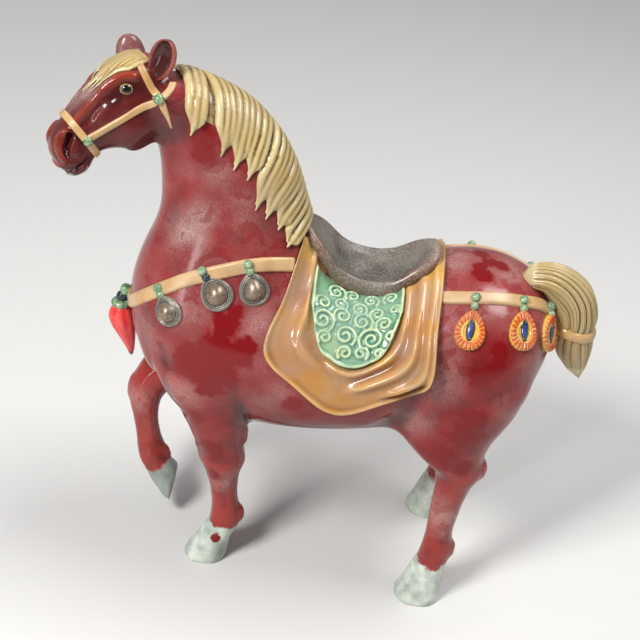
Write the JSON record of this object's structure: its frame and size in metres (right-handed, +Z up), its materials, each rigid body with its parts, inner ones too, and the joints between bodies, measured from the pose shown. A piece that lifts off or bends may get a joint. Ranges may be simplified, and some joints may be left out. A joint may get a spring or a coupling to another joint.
{
  "type": "ceramic horse statue",
  "caption": "Standing glazed horse, one foreleg raised and head turned, cast in one with its saddle, draped cloth, scrolled flaps, harness, bells, pendants and chest tassel.",
  "frame": {"origin": "on the ground under the middle of the statue's outer box", "axes": "+Z up, the horse faces -X and its near (left) side faces -Y"},
  "size_m": [0.319, 0.1376, 0.33],
  "materials": {
    "glaze": "glossy deep red glaze on the body; cream mane, forelock and tail; amber straps and cloth; green flaps and beads; brown-black saddle; pewter bells; orange, yellow and blue pendants; grey hooves"
  },
  "bodies": {
    "root": {"horse": "glaze"}
  },
  "joints": []
}
